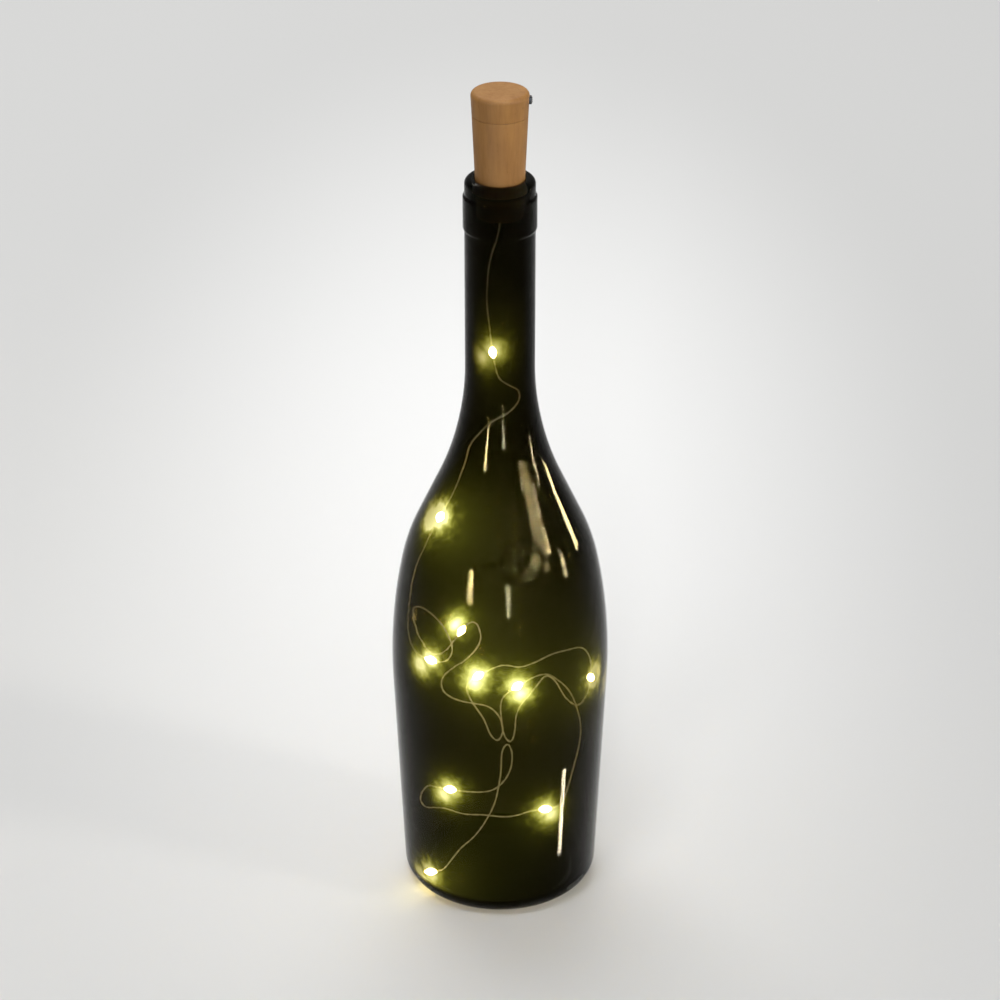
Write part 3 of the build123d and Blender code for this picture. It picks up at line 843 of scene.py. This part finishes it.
class StopperOperator(bpy.types.Operator):
    """Turn the stopper's shell and cap and cut the slot for the switch"""

    bl_idname = "bottle_light.stopper"
    bl_label = "Stopper"

    def execute(self, context):
        settings = context.scene.stopper_settings
        material = cork_material(settings)
        shell_corners = [
            (PLUG_HOLE_RADIUS, STOPPER_BOTTOM), (SHELL_LOW_RADIUS, STOPPER_BOTTOM),
            (SHELL_HIGH_RADIUS, SHELL_TOP), (SHELL_BORE_RADIUS, SHELL_TOP),
            (SHELL_BORE_RADIUS, STOPPER_BOTTOM + SHELL_FLOOR),
            (PLUG_HOLE_RADIUS, STOPPER_BOTTOM + SHELL_FLOOR),
        ]
        shell = draw_outline(
            "stopper_shell_look", shell_corners, SHELL_SHARES, arc_steps=6, closed=True
        )
        spin_outline(shell, STOPPER_TURN_STEPS)
        smooth(shell)
        dress(shell, "stopper", "cork_look", material, "stopper_shell")

        ceiling = STOPPER_TOP - CAP_THICKNESS
        cap_corners = [
            (0, STOPPER_TOP), (CAP_HIGH_RADIUS, STOPPER_TOP),
            (CAP_LOW_RADIUS, CAP_BOTTOM), (CAP_BORE_RADIUS, CAP_BOTTOM),
            (CAP_BORE_RADIUS, ceiling), (0, ceiling),
        ]
        cap = draw_outline("stopper_cap_look", cap_corners, CAP_SHARES)
        spin_outline(cap, STOPPER_TURN_STEPS)
        middle = sum(corner.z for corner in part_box("switch_slider")) / 2
        slot = (CAP_HIGH_RADIUS, settings.slot_width, settings.slot_height)
        cutter = add_block((CAP_HIGH_RADIUS, 0, middle), slot)
        apply_modifier(
            cap, "BOOLEAN", operation="DIFFERENCE", object=cutter, solver="EXACT"
        )
        bpy.data.objects.remove(cutter)
        smooth(cap)
        dress(cap, "battery_tray", "cork_look", material, "top_cap")
        return {"FINISHED"}


class SwitchOperator(bpy.types.Operator):
    """Rib the knob of the slide switch"""

    bl_idname = "bottle_light.switch"
    bl_label = "Switch"

    def execute(self, context):
        knob = copy_node("switch_slider", "switch_knob")
        low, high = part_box("switch_slider")
        middle = (low + high) / 2
        ribs = []
        for place in range(RIB_COUNT):
            step = place - (RIB_COUNT - 1) / 2
            height = middle.z + step * (high.z - low.z) / (RIB_COUNT + 1)
            rib = add_block((high.x, middle.y, height), RIB_SIZE)
            apply_modifier(rib, "BEVEL", width=RIB_ROUNDING, segments=3)
            ribs.append(rib)
        join([knob, *ribs])
        smooth(knob)
        material = plain_finish("black switch plastic", (0.012, 0.012, 0.013), 0.35)
        dress(knob, "switch_slider", "switch_plastic", material, "switch_slider")
        return {"FINISHED"}


class InsideOperator(bpy.types.Operator):
    """Dress the cells, contacts, board and tray inside the stopper"""

    bl_idname = "bottle_light.inside"
    bl_label = "Inside of the Stopper"

    def execute(self, context):
        finishes = [
            ("tray_plastic", ["battery_tray"],
             plain_finish("black tray plastic", (0.02, 0.02, 0.022), 0.45)),
            ("plug_rubber", ["wire_plug"],
             plain_finish("plug rubber", (0.018, 0.018, 0.018), 0.75)),
            ("contact_metal", ["positive_contact", "negative_contact", "contact_strip"],
             plain_finish("contact sheet", (0.58, 0.56, 0.52), 0.35, 1.0)),
            ("board", ["circuit_board"],
             plain_finish("board lacquer", (0.015, 0.12, 0.04), 0.3, Coat_Weight=0.3)),
            ("resistor", ["resistor"],
             plain_finish("resistor ceramic", (0.03, 0.03, 0.032), 0.5)),
            ("switch_plastic", ["switch_case"],
             plain_finish("switch case plastic", (0.015, 0.015, 0.016), 0.4)),
            ("terminal_metal", ["switch_terminals"],
             plain_finish("terminal brass", (0.72, 0.55, 0.25), 0.3, 1.0)),
            ("cell_metal", ["button_cell_1", "button_cell_2", "button_cell_3"],
             plain_finish("brushed cell steel", (0.62, 0.61, 0.58), 0.28, 1, scale=900)),
        ]
        for slot, nodes, material in finishes:
            for node in nodes:
                body = "stopper" if node == "wire_plug" else "battery_tray"
                dress(copy_node(node, node + "_look"), body, slot, material, node)
        return {"FINISHED"}


# The wires and the lights on them

class WireSettings(bpy.types.PropertyGroup):
    metal_color: color_setting("Wire Color", (0.88, 0.84, 0.76), "Colour of the wires")
    roughness: number_setting("Wire Roughness", 0.3, "Roughness of the wire's lacquer")
    # Brightness of the painted light on the wires
    painted_light_strength: number_setting("Lit Strength", 0.9, "Brightness of the lit wires")


class LightSettings(bpy.types.PropertyGroup):
    color: color_setting("Light Color", (1.0, 0.93, 0.75), "Colour of the lights")
    chip_strength: number_setting("Chip Strength", 2500.0, "Brightness of each light")
    bead_strength: number_setting("Bead Strength", 10000.0, "Brightness of the resin")


def add_curve(name, points, kind):
    """A curve with one spline that has the points as its knots."""
    curve = bpy.data.curves.new(name, "CURVE")
    curve.dimensions = "3D"
    spline = curve.splines.new(kind)
    spline.points.add(len(points) - 1)
    for knot, point in zip(spline.points, points):
        knot.co = (*point, 1)
    return add_object(name, curve)


def nurbs_line(name, points):
    """The points of a smooth line whose control points are the route's."""
    carrier = add_curve(name + "_line", points, "NURBS")
    curve = carrier.data
    curve.resolution_u = 12
    curve.splines[0].order_u = 3
    curve.splines[0].use_endpoint_u = True
    bpy.context.view_layer.update()
    mesh = bpy.data.meshes.new_from_object(carrier)
    line = [vertex.co.copy() for vertex in mesh.vertices]
    bpy.data.objects.remove(carrier)
    bpy.data.curves.remove(curve)
    bpy.data.meshes.remove(mesh)
    return line


def even_steps(line, step):
    """Points along the line at about one distance from each other."""
    lengths = [0.0]
    for before, after in zip(line, line[1:]):
        lengths.append(lengths[-1] + (after - before).length)
    count = max(2, round(lengths[-1] / step))
    points, index = [], 0
    for number in range(count + 1):
        reach = lengths[-1] * number / count
        while index < len(line) - 2 and lengths[index + 1] < reach:
            index += 1
        stretch = lengths[index + 1] - lengths[index]
        share = (reach - lengths[index]) / max(stretch, LEAST_STRETCH)
        points.append(line[index].lerp(line[index + 1], min(share, 1.0)))
    return points


def twisted_strand(line, phase):
    """One strand that winds round the line, as points."""
    side = None
    points = []
    for index, place in enumerate(line):
        before, after = line[max(index - 1, 0)], line[min(index + 1, len(line) - 1)]
        along = (after - before).normalized()
        if side is None:
            side = along.orthogonal().normalized()
        side = (side - along * side.dot(along)).normalized()
        turn = phase + math.tau * index * WIRE_STEP / STRAND_LAY
        offset = side * math.cos(turn) + along.cross(side) * math.sin(turn)
        points.append(place + offset * (WIRE_DIAMETER / 2 - STRAND_RADIUS))
    return points


def tube_mesh(name, points):
    """A round strand along points, made a mesh."""
    strand = add_curve(name, points, "POLY")
    strand.data.bevel_depth = STRAND_RADIUS
    strand.data.bevel_resolution = 1
    strand.data.use_fill_caps = True
    activate(strand)
    bpy.ops.object.convert(target="MESH")
    return bpy.context.object


def make_wire(name, route):
    """Two strands laid together along the route."""
    line = even_steps(nurbs_line(name, route), WIRE_STEP)
    strands = [tube_mesh(name + tail, twisted_strand(line, phase))
               for tail, phase in (("", 0.0), ("_second", math.pi))]
    wire = join(strands)
    wire.name = wire.data.name = name
    smooth(wire, 60)
    return wire, line


def light_basis(middle, along):
    """Turn and place of a light: Z along the wire and X away from the bottle's axis."""
    direction = along.normalized()
    out = Vector((middle.x, middle.y, 0))
    out = (out - direction * out.dot(direction)).normalized()
    side = direction.cross(out)
    turn = Matrix((out, side, direction)).transposed().to_4x4()
    return Matrix.Translation(middle) @ turn


def light_material(name, settings, strength, transmission):
    return plain_finish(
        name, (0.95, 0.9, 0.72), 0.12, bump=0, scale=700.0, IOR=1.5,
        Transmission_Weight=transmission, Emission_Color=(*settings.color, 1),
        Emission_Strength=strength,
    )


class LightsOperator(bpy.types.Operator):
    """Model one light and its bead of resin and copy them along the wire"""

    bl_idname = "bottle_light.lights"
    bl_label = "Lights"

    def execute(self, context):
        settings = context.scene.light_settings
        chip_material = light_material("lit chip", settings, settings.chip_strength, 0.0)
        bead_material = light_material("lit resin", settings, settings.bead_strength, 0.6)
        corners = [
            (BEAD_BORE_RADIUS, -BEAD_HALF_LENGTH), (BEAD_RADIUS, -BEAD_HALF_LENGTH / 3),
            (BEAD_RADIUS, BEAD_HALF_LENGTH / 3), (BEAD_BORE_RADIUS, BEAD_HALF_LENGTH),
        ]
        bead = draw_outline("bead_model", corners, [0.49, 0.49], arc_steps=8, closed=True)
        spin_outline(bead, 24)
        smooth(bead, 50)
        chip = add_block((WIRE_DIAMETER / 2 + CHIP_OFFSET, 0, 0), CHIP_SIZE)
        apply_modifier(chip, "BEVEL", width=CHIP_ROUNDING, segments=3)
        smooth(chip)
        for index, (middle, along) in enumerate(LIGHT_PLACES):
            number = index + 1
            body = "stopper" if index == 0 else "bottle"
            basis = light_basis(middle, along)
            for model, kind, slot, material in (
                (bead, "bead", "clear_resin", bead_material),
                (chip, "chip", "led_light", chip_material),
            ):
                piece = duplicate(model)
                piece.name = piece.data.name = f"{kind}_{number}"
                piece.matrix_world = basis
                place_in_mesh(piece)
                dress(piece, body, slot, material, f"led_{kind}_{number}")
        bpy.data.objects.remove(bead)
        bpy.data.objects.remove(chip)
        return {"FINISHED"}


def wire_material(name, settings, strength=0.0):
    """Lacquered metal; given a strength, it also carries painted light, a glow of its own that fades out
    towards the mouth.
    """
    material = plain_finish(
        name, settings.metal_color, settings.roughness, 0.25, scale=1500.0,
        Emission_Color=(*settings.metal_color, 1),
    )
    # Painted light: the wire glows on its own as if lit by the lights, fading out under the mouth
    if strength:
        tree = Tree(material.node_tree)
        height = tree.node("ShaderNodeSeparateXYZ", {0: tree.place()}).outputs["Z"]
        lit = tree.ramp(height, *MOUTH_FADE, strength, 0.0)
        shader = next(node for node in tree.tree.nodes
                      if node.bl_idname == "ShaderNodeBsdfPrincipled")
        tree.tree.links.new(lit, shader.inputs["Emission Strength"])
    return material


class WiresOperator(bpy.types.Operator):
    """Lay the two strands of each wire along its route"""

    bl_idname = "bottle_light.wires"
    bl_label = "Wires"

    def execute(self, context):
        settings = context.scene.wire_settings
        material = wire_material("wire", settings)
        painted_light_material = wire_material("lit wire", settings, settings.painted_light_strength)
        wires = [
            ("wire_lead", LEAD_ROUTE, "lead_wire", "stopper", None,
             LEAD_LENGTH, "fitting", "hanging", (1,)),
            ("wire_slack", SLACK_ROUTE, "slack_wire", "bottle",
             ("bottle", "stopper", SLACK_ROUTE[-1], SLACK_ROUTE[0]),
             SLACK_LENGTH, "fitting", "loose", (2,)),
            ("wire_string", STRING_ROUTE, "string_wire", "bottle", None,
             STRING_LENGTH, "fitting", "loose", range(3, LIGHT_COUNT + 1)),
            ("wire_inner", INNER_ROUTE, "inner_leads", "stopper",
             ("stopper", "battery_tray", INNER_BEND_START, INNER_BEND_END),
             INNER_LENGTH, "object", "coiled", ()),
        ]
        for name, route, node, body, bends, length, far_end, lay, lights in wires:
            wire, line = make_wire(name, route)
            if bends:
                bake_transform(wire, *bends)
            finish = material if node == "inner_leads" else painted_light_material
            dress(wire, body, "wire_metal", finish, node)
        return {"FINISHED"}


# The stage

class StageSettings(bpy.types.PropertyGroup):
    floor_color: color_setting("Floor Color", (0.87, 0.87, 0.865), "Colour of the floor")
    # Colour of the painted shade on the floor far from the bottle
    floor_painted_shade_color: color_setting(
        "Floor Edge Color", (0.605, 0.605, 0.60), "Colour of the floor far away",
    )
    floor_lift: number_setting("Floor Lift", 0.07, "Glow of the floor as a background")
    world_strength: number_setting("World Strength", 0.35, "Brightness of the world")
    overhead_power: number_setting("Overhead Power", 4.5, "Lamp above the front", "POWER")
    key_power: number_setting("Key Power", 0.36, "Lamp beside the stopper", "POWER")
    front_power: number_setting("Front Power", 4.7, "Lamp at the left front", "POWER")
    top_power: number_setting("Top Power", 31.0, "Wide lamp above", "POWER")


# Where the camera stands and looks at, and its lens
CAMERA_PLACE = (0, -1.23, 0.80975)
CAMERA_AIM = (0, 0, 0.15375)
CAMERA_LENS = 126.97
CAMERA_SHIFT = 0.039

# The lamps: name, place, place aimed at, size and colour
LAMPS = (
    ("overhead", (-0.2, -0.52, 1.33), (0, 0, 0.15), 0.3, (1, 1, 1)),
    ("key", (1.25, -0.55, 0.75), (0, 0, 0.33), 0.25, (1, 0.96, 0.9)),
    ("front", (-0.086, -1.41, 0.85), (0, 0.2, 0), 0.12, (1, 1, 1)),
    ("top", (-0.2, 1.2, 1.9), (0, 0.6, 0), 1.6, (1, 1, 1)),
)

# Angle of the key lamp's grid, in degrees
KEY_SPREAD = 30

# Panels that are only seen as the streaks they leave on the glass: name, turn to the
# viewer's right in degrees, distance, height, height aimed at, spread of the grid in
# degrees, width and height, brightness along the middle line, and colour
GLINTS = (
    ("left glint", -33, 1, 0.185, 0.13, 26, (0.10, 0.33), 300, (1.0, 0.98, 0.94)),
    ("window", 54, 1, 0.40, 0.15, 26, (0.28, 0.30), 60, (0.90, 0.93, 1.0)),
    ("window edge", 66, 1, 0.44, 0.15, 26, (0.04, 0.20), 300, (1.0, 0.93, 0.80)),
    ("window low edge", 43, 1, 0.36, 0.15, 26, (0.04, 0.20), 300, (1.0, 0.93, 0.80)),
    ("far right glint", 109, 1, 0.19, 0.15, 26, (0.12, 0.16), 140, (1.0, 0.85, 0.50)),
    ("right glint", 80, 1, 0.20, 0.15, 26, (0.05, 0.24), 250, (1.0, 0.93, 0.75)),
    ("front glint", 9, 1, 0.12, 0.15, 26, (0.08, 0.24), 200, (0.70, 0.82, 1.0)),
    ("upper glint", 25, 1, 1.90, 0.15, 26, (0.60, 0.60), 90, (0.95, 0.97, 1.0)),
    ("left upper glint", -50, 1, 1.10, 0.15, 26, (0.30, 0.30), 90, (1.0, 0.97, 0.90)),
    ("low glint", 54, 0.066, 0.025, 0.025, 180, (0.0045, 0.044), 110, (1.0, 0.98, 0.85)),
)


# Painted pool of light: the floor fades to its darker edge colour over an oval round a place behind the
# bottle
PAINTED_POOL_STRETCH = (1.0, 0.4, 1.0)
PAINTED_POOL_MIDDLE = (0.0, 0.155, 0.0)
PAINTED_POOL_REACH = 0.27
FLOOR_SIZE = 12


def add_aimed(name, data, place, aim):
    """A camera or a lamp at one place that looks at another."""
    thing = add_object(name, data)
    thing.location = place
    way = Vector(aim) - Vector(place)
    thing.rotation_euler = way.to_track_quat("-Z", "Y").to_euler()
    return thing


def add_camera():
    """A camera at the photograph's viewing angle."""
    data = bpy.data.cameras.new("view")
    data.sensor_width = 36.0
    data.lens = CAMERA_LENS
    data.shift_y = CAMERA_SHIFT
    data.clip_start = 0.01
    bpy.context.scene.camera = add_aimed("view", data, CAMERA_PLACE, CAMERA_AIM)


def add_lamp(name, place, aim, size, power, color):
    """A lamp with a flat face that looks at a place."""
    data = bpy.data.lights.new(name, "AREA")
    data.shape = "RECTANGLE"
    data.size, data.size_y = size
    data.energy = power
    data.color = color
    return add_aimed(name, data, place, aim)


def floor_material(settings):
    """A matt floor that pales as a background, with a painted pool of light round the bottle's place."""
    material, tree = new_material("pale floor")
    grain = tree.ramp(tree.noise(tree.place(), scale=90.0), 0.3, 0.7, to_high=0.03)
    shade = tree.mix(grain, (*settings.floor_color, 1), (0.76, 0.76, 0.75, 1))
    # Painted pool of light: lighter near a place behind the bottle, darker further out
    apart = tree.apart(tree.place(PAINTED_POOL_STRETCH), PAINTED_POOL_MIDDLE)
    painted_pool_fade = tree.ramp(apart, 0.0, PAINTED_POOL_REACH, kind="SMOOTHSTEP")
    shade = tree.mix(painted_pool_fade, shade, (*settings.floor_painted_shade_color, 1))
    path = tree.node("ShaderNodeLightPath").outputs
    seen = tree.math("ADD", path["Is Camera Ray"], path["Is Glossy Ray"])
    seen = tree.math("ADD", seen, path["Is Transmission Ray"], clamp=True)
    finish_material(tree, {
        "Base Color": shade, "Roughness": 0.9, "Specular IOR Level": 0.0,
        "Emission Color": shade,
        "Emission Strength": tree.math("MULTIPLY", seen, settings.floor_lift),
    })
    return material


class StageOperator(bpy.types.Operator):
    """Add the camera, the pale floor, the lamps and the plain surroundings"""

    bl_idname = "bottle_light.stage"
    bl_label = "Stage"

    def execute(self, context):
        settings = context.scene.stage_settings
        add_camera()
        deselect_all()
        bpy.ops.mesh.primitive_plane_add(size=FLOOR_SIZE)
        floor = bpy.context.object
        floor.name = "floor"
        floor.data.materials.append(floor_material(settings))
        lamps = {
            name: add_lamp(
                name, place, aim, (size, size), getattr(settings, name + "_power"), color
            ) for name, place, aim, size, color in LAMPS
        }
        lamps["key"].data.spread = math.radians(KEY_SPREAD)
        lamps["front"].visible_glossy = False
        for name, turn, distance, height, aim, spread, size, brightness, color in GLINTS:
            turned, half = math.radians(turn), math.radians(spread) / 2
            place = (distance * math.sin(turned), -distance * math.cos(turned), height)
            grid_gain = math.tan(half) / (math.tan(half) - half)
            power = brightness * math.pi * size[0] * size[1] / grid_gain
            lamp = add_lamp(name, place, (0, 0, aim), size, power, color)
            lamp.data.spread = math.radians(spread)
            lamp.visible_camera = lamp.visible_diffuse = False
            lamp.visible_transmission = False
        world = bpy.data.worlds.new("surroundings")
        world.use_nodes = True
        context.scene.world = world
        background = world.node_tree.nodes["Background"]
        background.inputs["Color"].default_value = (0.86, 0.86, 0.85, 1)
        background.inputs["Strength"].default_value = settings.world_strength
        context.scene.view_settings.view_transform = "Standard"
        return {"FINISHED"}


class BottleLightPanel(bpy.types.Panel):
    """The operators of the bottle light, in order"""

    bl_idname = "VIEW3D_PT_bottle_light"
    bl_label = "Bottle Light"
    bl_space_type = "VIEW_3D"
    bl_region_type = "UI"
    bl_category = "Bottle Light"

    def draw(self, context):
        for operator in OPERATORS:
            self.layout.operator(operator.bl_idname)


SETTINGS = {
    "bottle_settings": BottleSettings,
    "stopper_settings": StopperSettings,
    "wire_settings": WireSettings,
    "light_settings": LightSettings,
    "stage_settings": StageSettings,
}
OPERATORS = (
    StageOperator, LightsOperator, WiresOperator, BottleOperator, StopperOperator,
    SwitchOperator, InsideOperator,
)


def register():
    for kind in (*SETTINGS.values(), *OPERATORS, BottleLightPanel):
        bpy.utils.register_class(kind)
    for name, kind in SETTINGS.items():
        setattr(bpy.types.Scene, name, PointerProperty(type=kind))


def unregister():
    for name in SETTINGS:
        delattr(bpy.types.Scene, name)
    for kind in (BottleLightPanel, *reversed(OPERATORS), *SETTINGS.values()):
        bpy.utils.unregister_class(kind)


def main():
    register()
    bpy.ops.bottle_light.stage()
    bpy.ops.bottle_light.lights()
    bpy.ops.bottle_light.wires()
    bpy.ops.bottle_light.bottle()
    bpy.ops.bottle_light.stopper()
    bpy.ops.bottle_light.switch()
    bpy.ops.bottle_light.inside()
    deselect_all()


if __name__ == "__main__":
    main()
